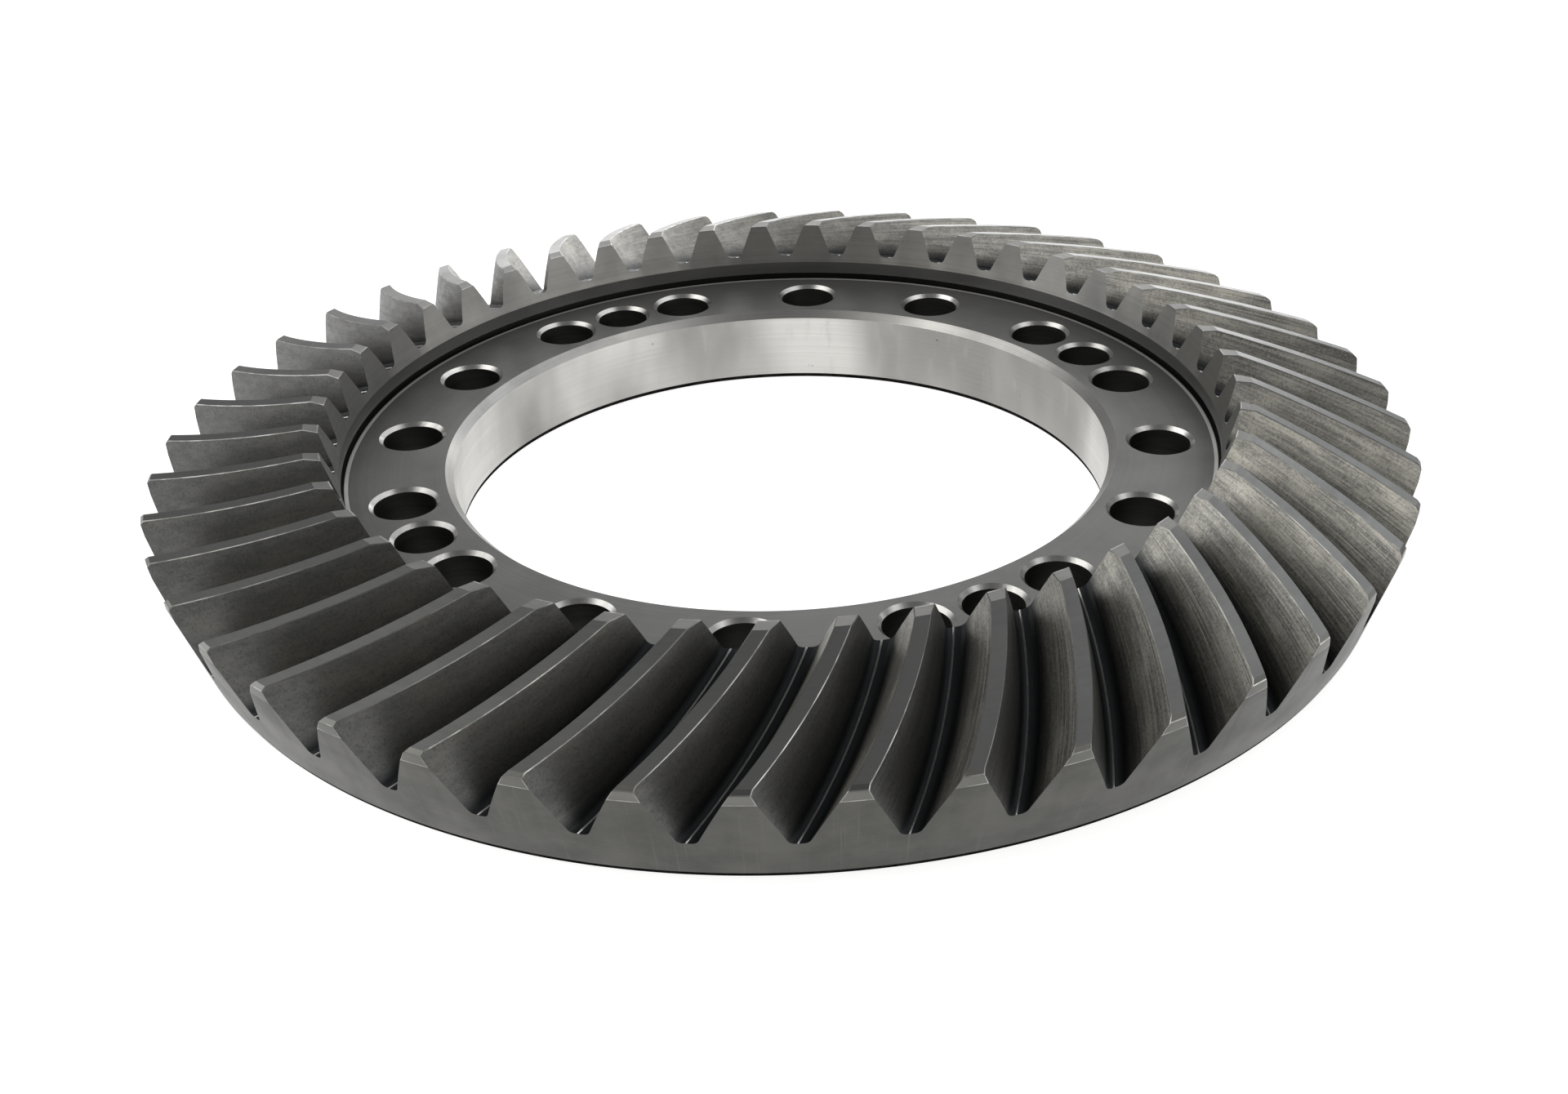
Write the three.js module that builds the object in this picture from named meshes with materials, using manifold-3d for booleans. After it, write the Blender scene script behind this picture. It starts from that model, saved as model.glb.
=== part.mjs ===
// Spiral bevel ring gear (crown wheel) of a heavy axle, lying on its flat back.
//
// Millimetres and degrees. The gear's axis is Z and its back face is z = 0. +X runs through a bolt hole, and
// through the middle of a tooth at its outer end, the heel. The inner end of a tooth is its toe.
//
// The gear is one forging, so it is one closed mesh. Its surface is a chain of rings around the axis: plain
// circles on the turned faces, and rings that follow the teeth on the cut ones. Each ring is stitched to the
// next, the last to the first, and the bolt and dowel holes are then drilled through the flange.

import * as THREE from "three";
import { mergeVertices } from "three/addons/utils/BufferGeometryUtils.js";
import Module from "manifold-3d";

// Body
const FLANGE_THICKNESS = 23.7;
const BORE_RADIUS = 95.2;
const BORE_CHAMFER = 2.2;
const BACK_CHAMFER = 0.8;
const BACK_RADIUS = 171.5;
const BACK_CONE_SLOPE = 0.311;
const FLANGE_RADIUS = 126.0;

// Relief groove between the flange and the wall that the teeth stand on
const GROOVE_RADIUS = 128.4;
const GROOVE_DEPTH = 1.3;
const WALL_RADIUS = 126.5;
const WALL_FOOT = 1.6;
const WALL_HEIGHT = 5.8;

// Bolt circle
const BOLT_CIRCLE_RADIUS = 110;
const BOLTS = 16;
const BOLT_HOLE_RADIUS = 8.75;
const DOWELS = 4;
const DOWEL_HOLE_RADIUS = 8.05;
const HOLE_CHAMFER = 1.1;

// Teeth: the root and the face of a tooth in the axial plane, at its two ends
const TEETH = 45;
const TOE_ROOT = new THREE.Vector2(127.4, FLANGE_THICKNESS + 8.0);
const TOE_TIP = new THREE.Vector2(130.9, FLANGE_THICKNESS + 18.9);
const HEEL_ROOT = new THREE.Vector2(175.2, FLANGE_THICKNESS - 11.9);
const HEEL_TIP = new THREE.Vector2(180.5, FLANGE_THICKNESS + 5.3);

// Spiral: the teeth are arcs of a face-mill cutter's circle, laid out on the pitch cone
const PITCH_ANGLE = 72.3;
const SPIRAL_ANGLE = 27.3;
const CUTTER_RADIUS = 180.7;

// Tooth space, measured around the axis: half its width at the root, and the slope of its flanks
const TOE_ROOT_HALF_WIDTH = 2.25;
const HEEL_ROOT_HALF_WIDTH = 2.1;
const TOE_FLANK_SLOPE = 0.43;
const HEEL_FLANK_SLOPE = 0.475;
const ROOT_FILLET = 1.2;

// Sections of a tooth from toe to heel: how far along the tooth, and how much of its height is left there
const SECTIONS = [
  { along: 0, height: 0.888 },
  { along: 0.08, height: 1 },
  { along: 0.37, height: 1 },
  { along: 0.67, height: 1 },
  { along: 0.968, height: 1 },
  { along: 0.9925, height: 0.958 },
  { along: 1, height: 0.79 },
];

// Points around the plain rings and the holes
const RING_POINTS = 2 * TEETH;
const TOE_RING_POINTS = 3 * TEETH;
const HOLE_POINTS = 20;

const { lerp, degToRad } = THREE.MathUtils;
const PITCH = (2 * Math.PI) / TEETH;

// A point at a radius, an angle around the axis and a height.
function around(radius, angle, z) {
  return new THREE.Vector3(radius * Math.cos(angle), radius * Math.sin(angle), z);
}

function plainRing(radius, z, points = RING_POINTS) {
  return Array.from({ length: points }, (_, i) => around(radius, (2 * Math.PI * i) / points, z));
}

// The cone distance of the middle of a tooth, from the pitch cone's apex.
function coneDistance(along) {
  const toe = (TOE_ROOT.x + TOE_TIP.x) / 2;
  const heel = (HEEL_ROOT.x + HEEL_TIP.x) / 2;
  return lerp(toe, heel, along) / Math.sin(degToRad(PITCH_ANGLE));
}

// The distance from the apex to the cutter's axis gives the spiral angle at the middle of the tooth.
const middle = coneDistance(0.5);
const cutterDistance = Math.sqrt(
  middle ** 2 + CUTTER_RADIUS ** 2 - 2 * middle * CUTTER_RADIUS * Math.sin(degToRad(SPIRAL_ANGLE)),
);

// The angle at the apex, on the unrolled cone, between the cutter's axis and the tooth.
function unrolledAngle(along) {
  const distance = coneDistance(along);
  const cosine =
    (distance ** 2 + cutterDistance ** 2 - CUTTER_RADIUS ** 2) / (2 * distance * cutterDistance);
  return Math.acos(cosine);
}

// How far a tooth has turned around the axis since its heel: the spiral is right-hand.
function spiralTurn(along) {
  return (unrolledAngle(along) - unrolledAngle(1)) / Math.sin(degToRad(PITCH_ANGLE));
}

// One section of one tooth space and the tooth after it, as points in the order of their angle.
function toothPoints({ along, height }, tooth) {
  const root = TOE_ROOT.clone().lerp(HEEL_ROOT, along);
  const tip = TOE_TIP.clone().lerp(HEEL_TIP, along);
  const depth = root.distanceTo(tip);
  const halfWidth = lerp(TOE_ROOT_HALF_WIDTH, HEEL_ROOT_HALF_WIDTH, along);
  const slope = lerp(TOE_FLANK_SLOPE, HEEL_FLANK_SLOPE, along);
  const filletReach = ROOT_FILLET * Math.tan((Math.PI / 2 - Math.atan(slope)) / 2);
  const centre = (tooth - 0.5) * PITCH + spiralTurn(along);

  // A point of the space's edge, at a share of the depth above the root.
  const edge = (side, share, width) => {
    const { x: radius, y: z } = root.clone().lerp(tip, share);
    return around(radius, centre + (side * width) / radius, z);
  };
  const foot = filletReach / Math.hypot(1, slope) / depth;
  const spaceWidth = (share) => halfWidth + share * depth * slope;
  const left = [
    edge(-1, height, spaceWidth(height)),
    edge(-1, foot, spaceWidth(foot)),
    edge(-1, 0, halfWidth - filletReach),
  ];
  const right = [
    edge(1, 0, halfWidth - filletReach),
    edge(1, foot, spaceWidth(foot)),
    edge(1, height, spaceWidth(height)),
  ];
  return [...left, ...right];
}

function toothedRing(section) {
  return Array.from({ length: TEETH }, (_, tooth) => toothPoints(section, tooth)).flat();
}

// Turns a ring's start so that it begins beside a point.
function startBeside(ring, point) {
  const distances = ring.map((candidate) => candidate.distanceTo(point));
  const first = distances.indexOf(Math.min(...distances));
  return [...ring.slice(first), ...ring.slice(0, first)];
}

// Fills the band between two rings with triangles, always across the shorter diagonal.
function stitch(lower, upper, triangles) {
  const a = startBeside(lower, upper[0]);
  const b = upper;
  const at = (ring, i) => ring[i % ring.length];
  let i = 0;
  let j = 0;
  while (i < a.length || j < b.length) {
    const stepOnA = at(a, i + 1).distanceTo(at(b, j));
    const stepOnB = at(b, j + 1).distanceTo(at(a, i));
    if (j === b.length || (i < a.length && stepOnA < stepOnB)) {
      triangles.push(at(a, i), at(a, i + 1), at(b, j));
      i += 1;
    } else {
      triangles.push(at(a, i), at(b, j + 1), at(b, j));
      j += 1;
    }
  }
}

// The closed surface through a chain of rings.
function ringChain(rings) {
  const triangles = [];
  rings.forEach((ring, i) => stitch(ring, rings[(i + 1) % rings.length], triangles));
  return new THREE.BufferGeometry().setFromPoints(triangles);
}

// The gear without its holes: up the heel, in along the teeth, down the toe and over the flange to the bore.
function gearBlank() {
  const flange = FLANGE_THICKNESS;
  const grooveFloor = flange - GROOVE_DEPTH;
  const wallFoot = flange + WALL_FOOT;
  return ringChain([
    plainRing(BACK_RADIUS - BACK_CHAMFER, 0),
    plainRing(BACK_RADIUS + BACK_CHAMFER * BACK_CONE_SLOPE, BACK_CHAMFER),
    ...SECTIONS.map(toothedRing).reverse(),
    plainRing(WALL_RADIUS, flange + WALL_HEIGHT, TOE_RING_POINTS),
    plainRing(WALL_RADIUS, wallFoot),
    plainRing(GROOVE_RADIUS, wallFoot),
    plainRing(GROOVE_RADIUS, grooveFloor),
    plainRing(FLANGE_RADIUS, grooveFloor),
    plainRing(FLANGE_RADIUS, flange),
    plainRing(BORE_RADIUS + BORE_CHAMFER, flange),
    plainRing(BORE_RADIUS, flange - BORE_CHAMFER),
    plainRing(BORE_RADIUS, BACK_CHAMFER),
    plainRing(BORE_RADIUS + BACK_CHAMFER, 0),
  ]);
}

// A drill with a countersink at both faces of the flange, standing on the gear's axis.
function drill(radius) {
  const beyond = 1;
  const top = FLANGE_THICKNESS;
  const mouth = radius + HOLE_CHAMFER + beyond;
  const profile = [
    [0, -beyond],
    [mouth, -beyond],
    [radius, HOLE_CHAMFER],
    [radius, top - HOLE_CHAMFER],
    [mouth, top + beyond],
    [0, top + beyond],
  ];
  const points = profile.map(([x, y]) => new THREE.Vector2(x, y));
  return new THREE.LatheGeometry(points, HOLE_POINTS).rotateX(Math.PI / 2);
}

// A circle of equal drills: the bolts start on +X, and the dowels sit midway between two bolts.
function drillCircle(radius, count, start) {
  return Array.from({ length: count }, (_, i) => {
    const angle = start + (2 * Math.PI * i) / count;
    return drill(radius).translate(BOLT_CIRCLE_RADIUS, 0, 0).rotateZ(angle);
  });
}

const wasm = await Module();
wasm.setup();

function toSolid(geometry) {
  const bare = new THREE.BufferGeometry();
  bare.setAttribute("position", geometry.getAttribute("position"));
  bare.setIndex(geometry.index);
  const merged = mergeVertices(bare, 1e-4);
  const mesh = new wasm.Mesh({
    numProp: 3,
    vertProperties: merged.attributes.position.array,
    triVerts: new Uint32Array(merged.index.array),
  });
  return new wasm.Manifold(mesh);
}

function toGeometry(solid) {
  const { vertProperties, triVerts } = solid.getMesh();
  const geometry = new THREE.BufferGeometry();
  geometry.setAttribute("position", new THREE.BufferAttribute(vertProperties, 3));
  geometry.setIndex(new THREE.BufferAttribute(triVerts, 1));
  const faceted = geometry.toNonIndexed();
  faceted.computeVertexNormals();
  return faceted;
}

const boltSpacing = (2 * Math.PI) / BOLTS;
const drills = [
  ...drillCircle(BOLT_HOLE_RADIUS, BOLTS, 0),
  ...drillCircle(DOWEL_HOLE_RADIUS, DOWELS, 1.5 * boltSpacing),
];
const drilled = drills.reduce((solid, tool) => solid.subtract(toSolid(tool)), toSolid(gearBlank()));

const gearSteel = new THREE.MeshStandardMaterial({ color: 0x5b5b57, roughness: 0.45, metalness: 0.9 });
const ringGear = new THREE.Mesh(toGeometry(drilled), gearSteel);
ringGear.name = "ring_gear";

const spiralBevelRingGear = new THREE.Group();
spiralBevelRingGear.add(ringGear);

export default spiralBevelRingGear;
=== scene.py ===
"""Looks of the spiral bevel ring gear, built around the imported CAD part.

The gear is one forging, so it is one piece. It is made again here from the CAD part's own dimensions, with
finely curved flanks, root fillets and edge breaks, and it replaces the CAD node. Metres, in the CAD's frame:
the gear's axis is Z, its back face is z = 0, and +X runs through a bolt hole.
"""

from math import acos, atan, cos, hypot, pi, radians, sin, sqrt, tan

import bmesh
import bpy
import numpy as np
from mathutils import Matrix, Vector
from mathutils.geometry import delaunay_2d_cdt


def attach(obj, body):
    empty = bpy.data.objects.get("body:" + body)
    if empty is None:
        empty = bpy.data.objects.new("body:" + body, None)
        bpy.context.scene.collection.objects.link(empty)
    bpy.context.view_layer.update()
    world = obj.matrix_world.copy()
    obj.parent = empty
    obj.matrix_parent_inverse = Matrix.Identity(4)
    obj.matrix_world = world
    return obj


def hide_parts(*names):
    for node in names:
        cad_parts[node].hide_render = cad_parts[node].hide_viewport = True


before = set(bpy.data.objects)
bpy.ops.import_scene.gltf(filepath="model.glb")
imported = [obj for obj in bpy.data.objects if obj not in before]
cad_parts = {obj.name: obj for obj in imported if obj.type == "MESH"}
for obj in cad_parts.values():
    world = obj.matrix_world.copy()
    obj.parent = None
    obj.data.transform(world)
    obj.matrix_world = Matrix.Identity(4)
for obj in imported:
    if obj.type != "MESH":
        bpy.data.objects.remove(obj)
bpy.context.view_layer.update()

MM = 0.001

# Body
FLANGE_TOP = 23.7 * MM
FLANGE_RADIUS = 126.0 * MM
BORE_RADIUS = 95.2 * MM
BORE_CHAMFER = 2.2 * MM
BACK_RADIUS = 171.5 * MM
BACK_CONE_SLOPE = 0.311  # how far the heel face leans out for its height

# Relief groove between the flange and the wall that the teeth stand on
GROOVE_RADIUS = 128.4 * MM
GROOVE_DEPTH = 1.3 * MM
WALL_RADIUS = 126.5 * MM
WALL_FOOT = 1.6 * MM
WALL_HEIGHT = 5.8 * MM

# Bolt circle
BOLT_CIRCLE_RADIUS = 110 * MM
BOLTS = 16
BOLT_HOLE_RADIUS = 8.75 * MM
DOWELS = 4
DOWEL_HOLE_RADIUS = 8.05 * MM
FIRST_DOWEL = 1.5  # in bolt pitches from +X: each dowel is midway between two bolts
HOLE_CHAMFER = 1.1 * MM

# Teeth: radius and height of the root and the face of a tooth, at its toe and its heel
TEETH = 45
PITCH = 2 * pi / TEETH
TOE_ROOT = np.array([127.4 * MM, FLANGE_TOP + 8.0 * MM])
TOE_TIP = np.array([130.9 * MM, FLANGE_TOP + 18.9 * MM])
HEEL_ROOT = np.array([175.2 * MM, FLANGE_TOP - 11.9 * MM])
HEEL_TIP = np.array([180.5 * MM, FLANGE_TOP + 5.3 * MM])

# Spiral: the teeth are arcs of a face-mill cutter's circle, laid out on the pitch cone
PITCH_ANGLE = radians(72.3)
SPIRAL_ANGLE = radians(27.3)
CUTTER_RADIUS = 180.7 * MM

# Tooth space, measured around the axis
TOE_ROOT_HALF_WIDTH = 2.25 * MM
HEEL_ROOT_HALF_WIDTH = 2.1 * MM
TOE_FLANK_SLOPE = 0.43
HEEL_FLANK_SLOPE = 0.475
ROOT_FILLET = 2.0 * MM
FLANK_CROWN = 0.18 * MM

# The ridge that the two sides of the cutter leave along the root, nearer the smooth flank
RIDGE_HEIGHT = 0.22 * MM
RIDGE_WIDTH = 0.55 * MM
RIDGE_OFFSET = 0.45 * MM

# Edges: how wide they are broken, the foot of the heel face and the bore, painted black as a contact shadow,
# and the flange's rim, painted bright as a highlight
EDGE_BREAK = 0.2 * MM
FOOT_HEIGHT = 1.3 * MM
FOOT_INSET = 0.3 * MM
HIGHLIGHT_RIM_WIDTH = 1.1 * MM

# The chamfers at the tooth's ends, as (how far along the tooth, height left there)
TOE_CORNER = (0.0, 0.888)
TOE_CHAMFER_END = (0.08, 1.0)
HEEL_CHAMFER_START = (0.968, 1.0)
HEEL_CORNER = (0.9925, 0.958)
HEEL_CHAMFER_END = (1.0, 0.79)

# Where the edges of those chamfers, rubbed and painted bright as a highlight, start or end, as a share of the
# way along each chamfer
TOE_WORN_HIGHLIGHT_END = 0.08
CORNER_WORN_HIGHLIGHT_START = 0.85
CORNER_WORN_HIGHLIGHT_END = 0.04
HEEL_WORN_HIGHLIGHT_START = 0.92

# Mesh fineness
ROWS_ALONG = 36
FLANK_POINTS = 6
FILLET_POINTS = 5
LAND_SPLITS = (0.33, 0.67)  # where the top of a tooth is split across
BORE_POINTS = 720
HOLE_POINTS = 64
SHARP_ANGLE = 17  # more than one step of a fillet, less than the bend above the wall
WELD_DISTANCE = 1e-7
HOLE_TOLERANCE = 0.98  # keeps the thin triangles just outside a hole's rim

# How many points there are in the profile of one tooth space and of the next tooth's top
SIDE_POINTS = 1 + FLANK_POINTS + FILLET_POINTS
RIDGE_POINTS = 3
SPACE_POINTS = 2 * SIDE_POINTS + RIDGE_POINTS
TOOTH_POINTS = SPACE_POINTS + len(LAND_SPLITS)

# Materials of the gear, in the order of their slots
SURFACES = (
    "smooth_flank", "milled_flank", "land", "facet", "heel_face", "toe_face", "wall", "flange", "bore",
    "chamfer", "mouth", "hole", "groove", "back", "foot", "edge", "ridge", "rim",
)

# How metallic the oiled, slightly oxidised faces are: the rest of their light is scattered
DULL_STEEL = 0.84
DULLER_STEEL = 0.68

# The flanks' painted shade at the root
ROOT_SHADE = (0.026, 0.028, 0.030)

# Parts of a noise's range, for ramps that are soft or a little firmer
SOFT = (0.3, 0.7)
FIRM = (0.35, 0.65)

# Camera, at the photograph's viewing angle. The lens and the sensor are in millimetres
CAMERA_PLACE = Vector((0.05152, -0.50426, 0.27323))
CAMERA_LOOKS_DOWN = radians(29.50)
CAMERA_ROLL = radians(-2.036)
CAMERA_TURN = radians(5.197)
CAMERA_LENS = 44.17
CAMERA_SENSOR = 36
CAMERA_SHIFT = (-0.0126, 0.0003)
CAMERA_CLIP = (0.01, 50)

# Stage
FLOOR_REACH = 12.0
FLOOR_HEIGHT = -0.2 * MM  # a hair under the gear, so that the two never share a plane
FLOOR_COLOR = (0.60, 0.60, 0.595, 1.0)
FLOOR_GLOW = 0.78
ROOM_COLOR = (0.96, 0.98, 1.0, 1.0)
ROOM_STRENGTH = 0.15
BACKDROP_COLOR = (0.87, 0.87, 0.87, 1.0)

# Lights
SOFTBOX_DISTANCE = 2.5
WHITE = (1, 1, 1)
COOL = (0.95, 0.98, 1.0)
WARM = (1.0, 0.98, 0.94)
FAINTLY_WARM = (1.0, 0.99, 0.96)


def mix(a, b, share):
    return a + (b - a) * share


def between(start, end, share):
    return tuple(mix(np.array(start), np.array(end), share))


# ---------------------------------------------------------------- teeth

def cone_distance(along):
    """The cone distance of the middle of a tooth, from the pitch cone's apex."""
    toe = (TOE_ROOT[0] + TOE_TIP[0]) / 2
    heel = (HEEL_ROOT[0] + HEEL_TIP[0]) / 2
    return mix(toe, heel, along) / sin(PITCH_ANGLE)


def unrolled_angle(along):
    """The angle at the apex, on the unrolled cone, between the cutter's axis and the tooth."""
    middle = cone_distance(0.5)
    to_cutter = sqrt(middle**2 + CUTTER_RADIUS**2 - 2 * middle * CUTTER_RADIUS * sin(SPIRAL_ANGLE))
    distance = cone_distance(along)
    return acos((distance**2 + to_cutter**2 - CUTTER_RADIUS**2) / (2 * distance * to_cutter))


def spiral_turn(along):
    """How far the tooth has turned around the axis, counted from its heel."""
    return (unrolled_angle(along) - unrolled_angle(1)) / sin(PITCH_ANGLE)


def space_side(half_width, slope, depth, height):
    """One side of a tooth space, from its edge down to the root, as (half width, share of depth) pairs."""
    lean = atan(slope)
    reach = ROOT_FILLET * tan((pi / 2 - lean) / 2)
    foot = reach * cos(lean) / depth
    top = height - EDGE_BREAK / depth

    side = [(half_width + top * depth * slope + EDGE_BREAK, height)]
    for i in range(FLANK_POINTS):
        share = mix(top, foot, i / (FLANK_POINTS - 1))
        bulge = FLANK_CROWN * 4 * share * (1 - share)
        side.append((half_width + share * depth * slope - bulge, share))
    flat = half_width - reach
    for i in range(1, FILLET_POINTS + 1):
        turn = (pi / 2 - lean) * i / FILLET_POINTS
        width = flat + ROOT_FILLET * cos(lean + turn)
        share = ROOT_FILLET * (1 - sin(lean + turn)) / depth
        side.append((width, share))
    return side


def root_ridge(depth):
    """The ridge along the root, as (distance from the middle, share of depth) pairs."""
    return [
        (-RIDGE_OFFSET - RIDGE_WIDTH / 2, 0.0),
        (-RIDGE_OFFSET, RIDGE_HEIGHT / depth),
        (-RIDGE_OFFSET + RIDGE_WIDTH / 2, 0.0),
    ]


def space_profile(along, height):
    """One tooth space and the top of the next tooth, as (angle, share of depth) pairs around the axis."""
    root = mix(TOE_ROOT, HEEL_ROOT, along)
    tip = mix(TOE_TIP, HEEL_TIP, along)
    depth = hypot(*(tip - root))
    half_width = mix(TOE_ROOT_HALF_WIDTH, HEEL_ROOT_HALF_WIDTH, along)
    slope = mix(TOE_FLANK_SLOPE, HEEL_FLANK_SLOPE, along)
    side = space_side(half_width, slope, depth, height)

    def angle(width, share):
        return width / mix(root[0], tip[0], share)

    left = [(-angle(*point), point[1]) for point in side]
    middle = [(angle(*point), point[1]) for point in root_ridge(depth)]
    right = [(angle(*point), point[1]) for point in reversed(side)]
    space = left + middle + right
    land_start = space[-1][0]
    land_end = PITCH + space[0][0]
    land = [(mix(land_start, land_end, share), height) for share in LAND_SPLITS]
    return space + land


def surface_across(place, land):
    """The surface from one point of the profile to the next, where land is the surface of the tooth's top."""
    if place >= SPACE_POINTS - 1:
        return land
    if place in (0, SPACE_POINTS - 2):
        return "edge"
    if place in (SIDE_POINTS, SIDE_POINTS + 1):
        return "ridge"
    return "smooth_flank" if place < SIDE_POINTS else "milled_flank"


def toothed_ring(along, height):
    """All the way around, one row of points across the teeth."""
    root = mix(TOE_ROOT, HEEL_ROOT, along)
    tip = mix(TOE_TIP, HEEL_TIP, along)
    profile = space_profile(along, height)
    points = []
    for tooth in range(TEETH):
        centre = (tooth - 0.5) * PITCH + spiral_turn(along)
        for angle, share in profile:
            radius, z = mix(root, tip, share)
            points.append((radius * cos(centre + angle), radius * sin(centre + angle), z))
    return points


def ring_below(row, radius, z):
    """A plain circle whose points stand under the points of a row."""
    points = []
    for x, y, _ in row:
        share = radius / hypot(x, y)
        points.append((x * share, y * share, z))
    return points


def tooth_rows():
    """The rows along the teeth from toe to heel: (along, height), and what the land is from there on."""
    rows = [(TOE_CORNER, "edge"), (between(TOE_CORNER, TOE_CHAMFER_END, TOE_WORN_HIGHLIGHT_END), "facet")]
    for i in range(ROWS_ALONG):
        rows.append((between(TOE_CHAMFER_END, HEEL_CHAMFER_START, i / ROWS_ALONG), "land"))
    rows.append((HEEL_CHAMFER_START, "facet"))
    rows.append((between(HEEL_CHAMFER_START, HEEL_CORNER, CORNER_WORN_HIGHLIGHT_START), "edge"))
    rows.append((between(HEEL_CORNER, HEEL_CHAMFER_END, CORNER_WORN_HIGHLIGHT_END), "facet"))
    rows.append((between(HEEL_CORNER, HEEL_CHAMFER_END, HEEL_WORN_HIGHLIGHT_START), "edge"))
    rows.append((HEEL_CHAMFER_END, None))
    return rows


# ---------------------------------------------------------------- mesh

class Shell:
    """Collects points, faces, and each face's material, and makes one mesh of them."""

    def __init__(self):
        self.points = []
        self.faces = []
        self.slots = []
        self.cut = []

    def add(self, points, cut=None):
        """Adds points, with their place in the cut where they lie on a tooth, and returns their indices."""
        start = len(self.points)
        self.points += points
        self.cut += cut if cut else [(0.0, 0.0, 0.0)] * len(points)
        return list(range(start, start + len(points)))

    def face(self, corners, name):
        self.faces.append(corners)
        self.slots.append(SURFACES.index(name))

    def band(self, lower, upper, *names):
        """Quads between two closed rings with as many points each. The names repeat around the ring."""
        count = len(lower)
        for i in range(count):
            j = (i + 1) % count
            self.face((lower[i], lower[j], upper[j], upper[i]), names[i % len(names)])

    def mesh(self, title):
        mesh = bpy.data.meshes.new(title)
        mesh.from_pydata(self.points, [], self.faces)
        mesh.polygons.foreach_set("material_index", self.slots)
        cut = mesh.attributes.new("cut", "FLOAT_VECTOR", "POINT")
        cut.data.foreach_set("vector", np.array(self.cut, dtype=np.float32).ravel())
        return mesh


def circle(radius, z, count, centre=(0.0, 0.0)):
    turn = 2 * pi / count
    x, y = centre
    return [(x + radius * cos(i * turn), y + radius * sin(i * turn), z) for i in range(count)]


def hole_places():
    """The centre and radius of every hole: the bolts, then the dowels."""
    places = []
    for i in range(BOLTS):
        places.append((2 * pi * i / BOLTS, BOLT_HOLE_RADIUS))
    for i in range(DOWELS):
        places.append((2 * pi * (i / DOWELS + FIRST_DOWEL / BOLTS), DOWEL_HOLE_RADIUS))
    ring = BOLT_CIRCLE_RADIUS
    return [((ring * cos(angle), ring * sin(angle)), radius) for angle, radius in places]


def is_over_hole(point, holes):
    for (x, y), radius in holes:
        if hypot(point[0] - x, point[1] - y) < radius + HOLE_CHAMFER * HOLE_TOLERANCE:
            return True
    return False


def add_flat_face(shell, outer, inner, mouths, upward, name):
    """Fills the plane between an outer ring and the inner ring, around the mouths of the holes."""
    loops = [outer, inner] + mouths
    indices = [i for loop in loops for i in loop]
    flat = [Vector(shell.points[i][:2]) for i in indices]
    edges = []
    start = 0
    for loop in loops:
        count = len(loop)
        edges += [(start + i, start + (i + 1) % count) for i in range(count)]
        start += count
    triangles = delaunay_2d_cdt(flat, edges, [], 0, WELD_DISTANCE)[2]
    inner_radius = min(hypot(*flat[i]) for i in range(len(outer), len(outer) + len(inner)))
    holes = hole_places()
    for triangle in triangles:
        middle = sum((flat[i] for i in triangle), Vector((0, 0))) / 3
        if hypot(*middle) < inner_radius or is_over_hole(middle, holes):
            continue
        corners = [indices[i] for i in triangle]
        shell.face(corners if upward else corners[::-1], name)


def add_teeth(shell):
    """The toothed rows. Returns the points and indices of the rows at the toe and at the heel."""
    rows = tooth_rows()
    rings = []
    for (along, height), _ in rows:
        points = toothed_ring(along, height)
        profile = space_profile(along, height)
        cut = [(along, share, tooth + angle / PITCH) for tooth in range(TEETH) for angle, share in profile]
        rings.append((points, shell.add(points, cut)))
    for row in range(len(rows) - 1):
        land = rows[row][1]
        names = [surface_across(place, land) for place in range(TOOTH_POINTS)]
        shell.band(rings[row + 1][1], rings[row][1], *names)
    return rings[0], rings[-1]


def add_heel_face(shell, heel_points, heel):
    """The face from the teeth's heels down to the back. Returns the rim of the back."""
    foot_radius = BACK_RADIUS + FOOT_HEIGHT * BACK_CONE_SLOPE
    heel_foot = shell.add(ring_below(heel_points, foot_radius, FOOT_HEIGHT))
    shell.band(heel_foot, heel, "heel_face")
    back_rim = shell.add(ring_below(heel_points, BACK_RADIUS - FOOT_INSET, 0.0))
    shell.band(back_rim, heel_foot, "foot")
    return back_rim


def add_toe_face(shell, toe_points, toe):
    """The toe face, the wall and the groove, down to the flange. Returns the rim of the flange."""
    turned_rings = [
        (WALL_RADIUS, FLANGE_TOP + WALL_HEIGHT, "toe_face"),
        (WALL_RADIUS, FLANGE_TOP + WALL_FOOT + EDGE_BREAK, "wall"),
        (WALL_RADIUS + EDGE_BREAK, FLANGE_TOP + WALL_FOOT, "edge"),
        (GROOVE_RADIUS, FLANGE_TOP + WALL_FOOT, "groove"),
        (GROOVE_RADIUS, FLANGE_TOP - GROOVE_DEPTH, "groove"),
        (FLANGE_RADIUS, FLANGE_TOP - GROOVE_DEPTH, "groove"),
        (FLANGE_RADIUS, FLANGE_TOP - EDGE_BREAK, "groove"),
        (FLANGE_RADIUS - EDGE_BREAK, FLANGE_TOP, "rim"),
        (FLANGE_RADIUS - EDGE_BREAK - HIGHLIGHT_RIM_WIDTH, FLANGE_TOP, "rim"),
    ]
    above = toe
    for radius, z, name in turned_rings:
        ring = shell.add(ring_below(toe_points, radius, z))
        shell.band(above, ring, name)
        above = ring
    return above


def add_bore(shell):
    """The bore. Returns its rings in the flange and in the back."""
    mouth = shell.add(circle(BORE_RADIUS + BORE_CHAMFER, FLANGE_TOP, BORE_POINTS))
    top = shell.add(circle(BORE_RADIUS, FLANGE_TOP - BORE_CHAMFER, BORE_POINTS))
    low = shell.add(circle(BORE_RADIUS, FOOT_HEIGHT, BORE_POINTS))
    foot = shell.add(circle(BORE_RADIUS + FOOT_INSET, 0.0, BORE_POINTS))
    shell.band(mouth, top, "chamfer")
    shell.band(top, low, "bore")
    shell.band(low, foot, "foot")
    return mouth, foot


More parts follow.
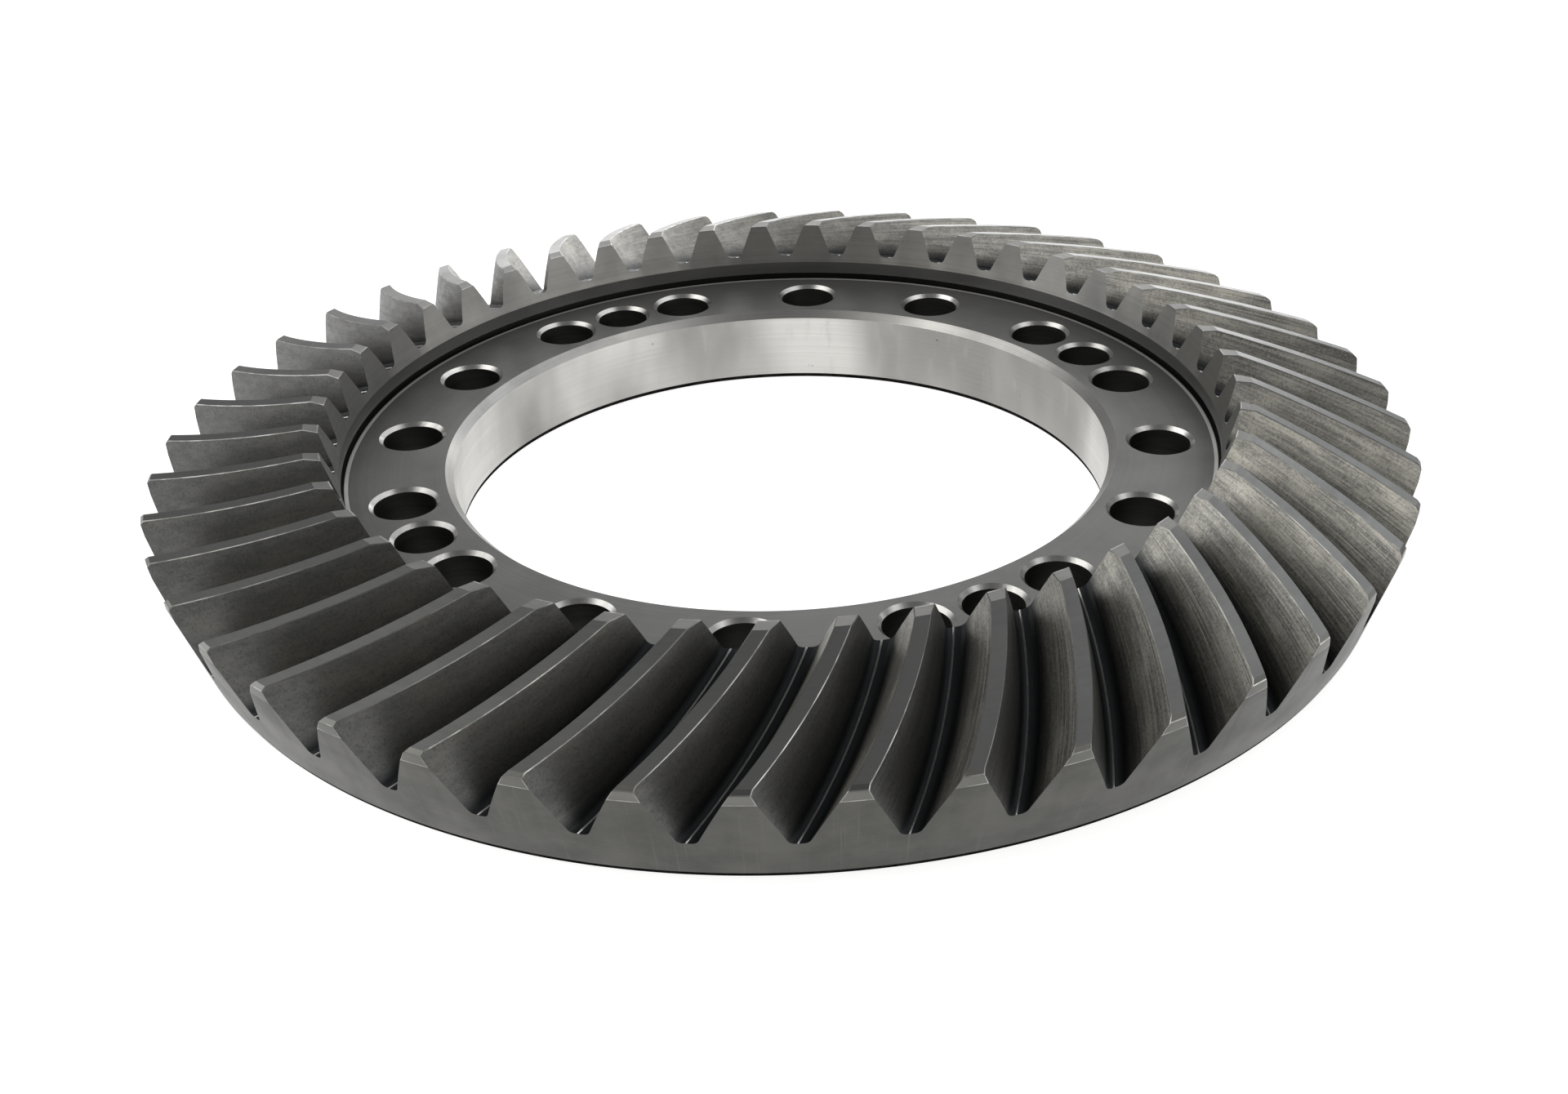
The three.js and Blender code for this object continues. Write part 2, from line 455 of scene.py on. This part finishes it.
def add_holes(shell):
    """The bolt and dowel holes. Returns their mouths in the flange and in the back."""
    upper_mouths = []
    lower_mouths = []
    for centre, radius in hole_places():
        top = shell.add(circle(radius + HOLE_CHAMFER, FLANGE_TOP, HOLE_POINTS, centre))
        high = shell.add(circle(radius, FLANGE_TOP - HOLE_CHAMFER, HOLE_POINTS, centre))
        low = shell.add(circle(radius, HOLE_CHAMFER, HOLE_POINTS, centre))
        bottom = shell.add(circle(radius + HOLE_CHAMFER, 0.0, HOLE_POINTS, centre))
        shell.band(top, high, "mouth")
        shell.band(high, low, "hole")
        shell.band(low, bottom, "mouth")
        upper_mouths.append(top)
        lower_mouths.append(bottom)
    return upper_mouths, lower_mouths


def shade_smooth(mesh):
    """Turns all faces outwards, and shades them smooth except across sharp edges."""
    cleaner = bmesh.new()
    cleaner.from_mesh(mesh)
    bmesh.ops.recalc_face_normals(cleaner, faces=cleaner.faces)
    cleaner.to_mesh(mesh)
    cleaner.free()
    mesh.polygons.foreach_set("use_smooth", [True] * len(mesh.polygons))
    mesh.set_sharp_from_angle(angle=radians(SHARP_ANGLE))


def make_gear():
    shell = Shell()
    (toe_points, toe), (heel_points, heel) = add_teeth(shell)
    back_rim = add_heel_face(shell, heel_points, heel)
    flange_rim = add_toe_face(shell, toe_points, toe)
    bore_mouth, bore_foot = add_bore(shell)
    upper_mouths, lower_mouths = add_holes(shell)
    add_flat_face(shell, flange_rim, bore_mouth, upper_mouths, True, "flange")
    add_flat_face(shell, back_rim, bore_foot, lower_mouths, False, "back")
    mesh = shell.mesh("gear_forging")
    shade_smooth(mesh)
    gear = bpy.data.objects.new("gear_forging", mesh)
    bpy.context.collection.objects.link(gear)
    return gear


# ---------------------------------------------------------------- materials

class Look:
    """One procedural material: a Principled shader and short calls that add the nodes that feed it."""

    def __init__(self, name, roughness, metallic=1.0):
        self.material = bpy.data.materials.new(name)
        self.material.use_nodes = True
        self.tree = self.material.node_tree
        self.shader = self.tree.nodes["Principled BSDF"]
        self.shader.inputs["Metallic"].default_value = metallic
        self.shader.inputs["Roughness"].default_value = roughness

    def add(self, kind, inputs, **settings):
        node = self.tree.nodes.new("ShaderNode" + kind)
        for key, value in settings.items():
            setattr(node, key, value)
        for key, value in inputs.items():
            self.feed(node.inputs[key], value)
        return node

    def feed(self, socket, value):
        if isinstance(value, bpy.types.NodeSocket):
            self.tree.links.new(value, socket)
        else:
            socket.default_value = value

    def math(self, operation, a, b=0.0):
        return self.add("Math", {0: a, 1: b}, operation=operation).outputs[0]

    def times(self, a, b):
        return self.math("MULTIPLY", a, b)

    def plus(self, a, b):
        return self.math("ADD", a, b)

    def noise(self, vector, scale, detail=3.0, roughness=0.55):
        """Noise from 0 to 1 whose cells are 1/scale long, with a scale for each coordinate."""
        stretched = self.add("VectorMath", {0: vector, 1: scale}, operation="MULTIPLY").outputs[0]
        inputs = {"Vector": stretched, "Scale": 1.0, "Detail": detail, "Roughness": roughness}
        return self.add("TexNoise", inputs).outputs["Fac"]

    def even_noise(self, scale, detail=3.0, roughness=0.55):
        """Noise through space, the same in every direction, whose cells are 1/scale metres long."""
        return self.noise(self.place(), (scale, scale, scale), detail, roughness)

    def ramp(self, value, low, high, start=0.0, end=1.0):
        """Goes smoothly from start to end as the value goes from low to high."""
        inputs = {"Value": value, "From Min": low, "From Max": high, "To Min": start, "To Max": end}
        return self.add("MapRange", inputs, interpolation_type="SMOOTHSTEP").outputs["Result"]

    def blend(self, share, a, b):
        """A colour from a to b. Sockets 6, 7 and 2 are the mix node's colour inputs and colour result."""
        node = self.add("Mix", {0: share}, data_type="RGBA")
        self.feed(node.inputs[6], a if isinstance(a, bpy.types.NodeSocket) else (*a, 1.0))
        self.feed(node.inputs[7], b if isinstance(b, bpy.types.NodeSocket) else (*b, 1.0))
        return node.outputs[2]

    def cut(self):
        """A point's place in the cut: how far along the tooth, its share of the depth, and teeth around.

        Returns the whole place, then its first two parts.
        """
        vector = self.add("Attribute", {}, attribute_name="cut").outputs["Vector"]
        along, height, _ = self.add("SeparateXYZ", {0: vector}).outputs
        return vector, along, height

    def turned(self):
        """A lathe's coordinates: across its rings, then the place around the axis on a circle of radius 1."""
        x, y, z = self.add("SeparateXYZ", {0: self.place()}).outputs
        radius = self.math("SQRT", self.plus(self.times(x, x), self.times(y, y)))
        across = self.plus(radius, z)
        around = [self.math("DIVIDE", part, radius) for part in (x, y)]
        return self.add("CombineXYZ", {0: across, 1: around[0], 2: around[1]}).outputs[0]

    def place(self):
        return self.add("TexCoord", {}).outputs["Object"]

    def color(self, value):
        self.feed(self.shader.inputs["Base Color"], value)

    def roughness(self, value):
        self.feed(self.shader.inputs["Roughness"], value)

    def bump(self, *layers):
        """Each layer is a height from 0 to 1 and how deep it is, in metres."""
        normal = None
        for height, depth in layers:
            node = self.add("Bump", {"Height": height, "Distance": depth, "Strength": 1.0})
            if normal:
                self.feed(node.inputs["Normal"], normal)
            normal = node.outputs[0]
        self.feed(self.shader.inputs["Normal"], normal)


def cutter_streaks(look, cut):
    """The streaks that the cutter left along the tooth, coarse and fine together."""
    coarse = look.noise(cut, (1.4, 26.0, 9.0), detail=4.0, roughness=0.6)
    fine = look.noise(cut, (4.0, 90.0, 9.0), detail=3.0, roughness=0.6)
    return look.plus(look.times(coarse, 0.6), look.times(fine, 0.4))


def gritty(look, color, bright, shadow):
    """A colour with bright and dark grit all over it."""
    grit = look.even_noise(1500.0, detail=2.0, roughness=0.6)
    color = look.blend(look.ramp(grit, 0.54, 0.68, 0.0, 0.35), color, bright)
    return look.blend(look.ramp(grit, 0.46, 0.32, 0.0, 0.45), color, shadow)


def flank_look(name, dark, light, bright, marks):
    """A flank, with painted shade towards the root. marks, from 0 to 1, is how strongly the cutter's marks
    show.
    """
    look = Look(name, roughness=0.4, metallic=DULL_STEEL)
    cut, along, height = look.cut()
    mottle = look.noise(cut, (9.0, 7.0, 9.0), detail=6.0, roughness=0.7)
    patches = look.noise(cut, (2.6, 1.4, 5.0), detail=3.0, roughness=0.5)
    streaks = cutter_streaks(look, cut)
    crossing = look.noise(cut, (90.0, 3.0, 9.0), detail=3.0, roughness=0.6)
    grain = look.even_noise(900.0, detail=2.0)

    # The bare steel: mottled, with brighter patches, then streaks along the tooth
    shadow = [0.5 * part for part in dark]
    bare = look.blend(look.ramp(mottle, *FIRM), dark, light)
    bare = look.blend(look.ramp(patches, 0.5, 0.7, 0.0, mix(0.35, 0.6, marks)), bare, bright)
    bare = look.blend(look.ramp(streaks, 0.46, 0.62, 0.0, 0.5 * marks), bare, bright)
    bare = look.blend(look.ramp(streaks, 0.46, 0.36, 0.0, 0.45 * marks), bare, shadow)

    # Marks across the tooth near its toe, then grit all over
    near_toe = look.ramp(along, 0.05, 0.4, marks, 0.0)
    crossed = look.times(look.ramp(crossing, 0.5, 0.4), look.times(near_toe, 0.18))
    bare = gritty(look, look.blend(crossed, bare, shadow), bright, shadow)

    # Painted shade towards the root, where the steel is duller as well
    out_of_root_shade = look.ramp(height, 0.02, mix(0.2, 0.48, marks))
    look.color(look.blend(out_of_root_shade, ROOT_SHADE, bare))
    rough = look.plus(look.ramp(mottle, *SOFT, 0.47, 0.38), look.ramp(streaks, *FIRM, -0.05, 0.05))
    look.roughness(look.plus(rough, look.ramp(height, 0.0, 0.25, 0.12, 0.0)))
    toe_marks = look.times(crossing, look.ramp(along, 0.05, 0.45, 1.0, 0.1))
    look.bump((streaks, 0.00012 * marks), (toe_marks, 0.00004 * marks), (grain, 0.000012))
    return look.material


def turned_look(name, dark, light, roughness, rings=900.0, depth=0.00002, metallic=1.0):
    """A face turned on a lathe: fine rings, so many to a metre, over slow changes of shade."""
    look = Look(name, roughness, metallic)
    ringed = look.noise(look.turned(), (rings, 1.5, 1.5), detail=4.0, roughness=0.65)
    clouds = look.even_noise(28.0, detail=5.0, roughness=0.6)
    grain = look.even_noise(1100.0, detail=2.0)
    shade = look.plus(look.times(clouds, 0.75), look.times(ringed, 0.25))
    look.color(look.blend(look.ramp(shade, *SOFT), dark, light))
    look.roughness(look.ramp(shade, *SOFT, roughness + 0.04, roughness - 0.04))
    look.bump((ringed, depth), (grain, 0.000008))
    return look.material


def smooth_shaded_flank_look():
    """The smoother flanks, which face the camera at the left and in front, painted darker as shade."""
    dark, light, bright = (0.086, 0.087, 0.085), (0.110, 0.109, 0.104), (0.150, 0.146, 0.135)
    return flank_look("steel_smooth_shaded_flank", dark, light, bright, marks=0.15)


def milled_lit_flank_look():
    """The flanks with the cutter's marks, which face the camera at the right, painted lighter as if lit."""
    dark, light, bright = (0.180, 0.177, 0.165), (0.275, 0.268, 0.244), (0.520, 0.502, 0.450)
    return flank_look("steel_milled_lit_flank", dark, light, bright, marks=1.0)


def land_look():
    """The tops of the teeth."""
    dark, light = (0.160, 0.162, 0.157), (0.228, 0.230, 0.222)
    return turned_look("steel_land", dark, light, roughness=0.42)


def facet_look():
    """The chamfers at the ends of the teeth."""
    dark, light = (0.12, 0.12, 0.114), (0.172, 0.170, 0.160)
    return turned_look("steel_facet", dark, light, roughness=0.38)


def heel_face_look():
    """The back cone: turned, then scuffed across by handling."""
    look = Look("steel_heel_face", roughness=0.4)
    turned = look.turned()
    rings = look.noise(turned, (1500.0, 2.0, 2.0), detail=4.0, roughness=0.6)
    clouds = look.noise(turned, (60.0, 9.0, 9.0), detail=5.0, roughness=0.6)
    scuffs = look.noise(turned, (25.0, 220.0, 220.0), detail=3.0, roughness=0.5)
    color = look.blend(look.ramp(clouds, *SOFT), (0.078, 0.078, 0.073), (0.106, 0.105, 0.098))
    look.color(look.blend(look.ramp(scuffs, 0.62, 0.78, 0.0, 0.3), color, (0.18, 0.18, 0.168)))
    look.roughness(look.ramp(clouds, *SOFT, 0.46, 0.38))
    look.bump((rings, 0.00003), (scuffs, 0.00001))
    return look.material


def toe_face_look():
    """The inner ends of the teeth."""
    dark, light = (0.15, 0.15, 0.145), (0.24, 0.236, 0.222)
    return turned_look("steel_toe_face", dark, light, roughness=0.46, depth=0.00003)


def wall_look():
    """The short wall that the teeth stand on."""
    dark, light = (0.150, 0.151, 0.146), (0.195, 0.194, 0.187)
    return turned_look("steel_wall", dark, light, roughness=0.46)


def flange_look():
    """The flat flange around the holes."""
    dark, light = (0.120, 0.120, 0.116), (0.155, 0.155, 0.149)
    return turned_look("steel_flange", dark, light, roughness=0.50, rings=1400.0, metallic=DULLER_STEEL)


def bore_look():
    """Ground bright, with fine scratches around and slow soft changes of shade."""
    look = Look("steel_bore", roughness=0.3)
    turned = look.turned()
    scratches = look.noise(turned, (1500.0, 0.8, 0.8), detail=4.0, roughness=0.7)
    clouds = look.noise(turned, (12.0, 2.6, 2.6), detail=3.0, roughness=0.45)
    smears = look.noise(turned, (60.0, 16.0, 16.0), detail=5.0, roughness=0.6)
    specks = look.even_noise(300.0, detail=2.0, roughness=0.5)
    color = look.blend(look.ramp(clouds, *SOFT), (0.25, 0.247, 0.237), (0.64, 0.628, 0.603))
    color = look.blend(look.ramp(smears, 0.52, 0.75, 0.0, 0.35), color, (0.42, 0.41, 0.39))
    color = look.blend(look.ramp(scratches, 0.35, 0.7, 0.22, 0.0), color, (0.36, 0.355, 0.345))
    look.color(look.blend(look.ramp(specks, 0.76, 0.8), color, (0.14, 0.13, 0.11)))
    look.roughness(look.ramp(scratches, *SOFT, 0.36, 0.27))
    look.bump((scratches, 0.000015))
    return look.material


def chamfer_look():
    """The chamfer at the bore's mouth."""
    dark, light = (0.29, 0.287, 0.278), (0.47, 0.462, 0.445)
    return turned_look("steel_chamfer", dark, light, roughness=0.38, rings=1400.0)


def mouth_look():
    """The bright chamfers of the holes."""
    dark, light = (0.34, 0.337, 0.325), (0.60, 0.592, 0.575)
    return turned_look("steel_mouth", dark, light, roughness=0.30, rings=1200.0, depth=0.00003)


def hole_look():
    """The dark drilled walls of the holes."""
    look = Look("steel_hole", roughness=0.45)
    rings = look.noise(look.place(), (60.0, 60.0, 900.0))
    look.color(look.blend(rings, (0.045, 0.045, 0.043), (0.10, 0.10, 0.095)))
    look.bump((rings, 0.00003))
    return look.material


def groove_look():
    """The relief groove, painted almost black as shade."""
    dark, light = (0.03, 0.03, 0.03), (0.05, 0.05, 0.048)
    return turned_look("steel_groove_painted_shade", dark, light, roughness=0.5)


def back_look():
    """The flat back, which the photograph doesn't show."""
    dark, light = (0.13, 0.129, 0.121), (0.18, 0.178, 0.166)
    return turned_look("steel_back", dark, light, roughness=0.36, rings=1400.0)


def foot_shadow_look():
    """The thin line where the gear meets the floor, painted black as a contact shadow."""
    look = Look("steel_foot_painted_shadow", roughness=0.9, metallic=0.0)
    shadow_mottle = look.even_noise(400.0)
    look.color(look.blend(look.ramp(shadow_mottle, *FIRM), (0.004, 0.004, 0.004), (0.014, 0.013, 0.012)))
    look.shader.inputs["Specular IOR Level"].default_value = 0.0
    return look.material


def edge_look():
    """Where the edges are broken: rubbed, and painted bright as a highlight."""
    look = Look("steel_edge", roughness=0.35)
    wear_and_sheen = look.even_noise(160.0)
    look.color(look.blend(look.ramp(wear_and_sheen, *FIRM), (0.17, 0.17, 0.163), (0.34, 0.336, 0.324)))
    look.roughness(look.ramp(wear_and_sheen, *FIRM, 0.42, 0.3))
    return look.material


def ridge_look():
    """The ridge along each root, painted bright as a highlight where it catches the light."""
    dark, light = (0.40, 0.40, 0.395), (0.62, 0.615, 0.60)
    return turned_look("steel_ridge_painted_highlight", dark, light, roughness=0.42, rings=300.0, metallic=DULLER_STEEL)


def rim_look():
    """The outer rim of the flange, painted bright as a highlight."""
    dark, light = (0.50, 0.50, 0.485), (0.70, 0.695, 0.675)
    return turned_look("steel_rim_painted_highlight", dark, light, roughness=0.45, metallic=DULLER_STEEL)


def make_materials():
    """The gear's materials, in the order of SURFACES."""
    looks = {
        "smooth_flank": smooth_shaded_flank_look,
        "milled_flank": milled_lit_flank_look,
        "land": land_look,
        "facet": facet_look,
        "heel_face": heel_face_look,
        "toe_face": toe_face_look,
        "wall": wall_look,
        "flange": flange_look,
        "bore": bore_look,
        "chamfer": chamfer_look,
        "mouth": mouth_look,
        "hole": hole_look,
        "groove": groove_look,
        "back": back_look,
        "foot": foot_shadow_look,
        "edge": edge_look,
        "ridge": ridge_look,
        "rim": rim_look,
    }
    return [looks[name]() for name in SURFACES]


# ---------------------------------------------------------------- stage

def make_camera():
    data = bpy.data.cameras.new("camera")
    data.sensor_width = CAMERA_SENSOR
    data.lens = CAMERA_LENS
    data.shift_x, data.shift_y = CAMERA_SHIFT
    data.clip_start, data.clip_end = CAMERA_CLIP
    camera = bpy.data.objects.new("camera", data)
    bpy.context.collection.objects.link(camera)
    right = Vector((1, 0, 0))
    up = Vector((0, sin(CAMERA_LOOKS_DOWN), cos(CAMERA_LOOKS_DOWN)))
    ahead = Vector((0, cos(CAMERA_LOOKS_DOWN), -sin(CAMERA_LOOKS_DOWN)))
    x = cos(CAMERA_ROLL) * right + sin(CAMERA_ROLL) * up
    y = -sin(CAMERA_ROLL) * right + cos(CAMERA_ROLL) * up
    axes = Matrix((x, y, -ahead)).transposed().to_4x4()
    turn = Matrix.Rotation(CAMERA_TURN, 4, "Z")
    camera.matrix_world = Matrix.Translation(CAMERA_PLACE) @ turn @ axes
    bpy.context.scene.camera = camera


def make_floor():
    """A white paper floor, lit from within as a light table is, so that it stays white beside dark steel."""
    reach = FLOOR_REACH
    z = FLOOR_HEIGHT
    corners = [(-reach, -reach, z), (reach, -reach, z), (reach, reach, z), (-reach, reach, z)]
    mesh = bpy.data.meshes.new("floor")
    mesh.from_pydata(corners, [], [(0, 1, 2, 3)])
    floor = bpy.data.objects.new("floor", mesh)
    bpy.context.collection.objects.link(floor)
    look = Look("floor_paper", roughness=0.8, metallic=0.0)
    look.shader.inputs["Base Color"].default_value = FLOOR_COLOR
    look.shader.inputs["Specular IOR Level"].default_value = 0.0
    look.shader.inputs["Emission Color"].default_value = (1.0, 1.0, 1.0, 1.0)
    look.shader.inputs["Emission Strength"].default_value = FLOOR_GLOW
    mesh.materials.append(look.material)


def make_world():
    """A dim even room, as pale as the far floor where the camera looks past it."""
    world = bpy.data.worlds.new("studio")
    world.use_nodes = True
    nodes = world.node_tree.nodes
    links = world.node_tree.links
    room = nodes["Background"]
    room.inputs["Color"].default_value = ROOM_COLOR
    room.inputs["Strength"].default_value = ROOM_STRENGTH
    backdrop = nodes.new("ShaderNodeBackground")
    backdrop.inputs["Color"].default_value = BACKDROP_COLOR
    path = nodes.new("ShaderNodeLightPath")
    chosen = nodes.new("ShaderNodeMixShader")
    links.new(path.outputs["Is Camera Ray"], chosen.inputs[0])
    links.new(room.outputs[0], chosen.inputs[1])
    links.new(backdrop.outputs[0], chosen.inputs[2])
    links.new(chosen.outputs[0], nodes["World Output"].inputs["Surface"])
    bpy.context.scene.world = world


def softbox(name, azimuth, elevation, size, radiance, color=WHITE):
    """A soft rectangular light of an even radiance that faces the gear, and that the camera doesn't see."""
    width, height = size
    data = bpy.data.lights.new(name, "AREA")
    data.shape = "RECTANGLE"
    data.size = width
    data.size_y = height
    data.energy = radiance * pi * width * height
    data.color = color
    light = bpy.data.objects.new(name, data)
    bpy.context.collection.objects.link(light)
    turn = radians(azimuth)
    rise = radians(elevation)
    away = Vector((cos(rise) * cos(turn), cos(rise) * sin(turn), sin(rise)))
    light.location = away * SOFTBOX_DISTANCE
    light.rotation_euler = away.to_track_quat("Z", "Y").to_euler()
    light.visible_camera = False


def make_lights():
    """Softboxes around the gear: azimuth from +X and elevation in degrees, size in metres, and radiance.

    None stands straight behind the camera, so that side stays the darkest.
    """
    softbox("wall_behind", 90, 10, (2.0, 0.9), 3.5)
    softbox("wall_behind_high", 90, 30, (2.0, 0.9), 1.0)
    softbox("wall_right", 0, 10, (2.0, 0.9), 2.7)
    softbox("wall_right_high", 50, 32, (1.8, 1.0), 1.3, COOL)
    softbox("lamp_right", 5, 54, (1.8, 1.2), 1.5)
    softbox("lamp_left", 182, 52, (2.0, 1.3), 2.1, FAINTLY_WARM)
    softbox("wall_left", 180, 17, (2.0, 1.6), 2.1)
    softbox("window_right", 318, 24, (1.1, 0.9), 3.4, WARM)
    softbox("window_left", 225, 30, (1.8, 1.0), 1.7, WARM)


gear = make_gear()
for material in make_materials():
    gear.data.materials.append(material)
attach(gear, "root")
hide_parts("ring_gear")

make_camera()
make_floor()
make_world()
make_lights()
bpy.context.scene.view_settings.view_transform = "Standard"

bpy.context.view_layer.update()
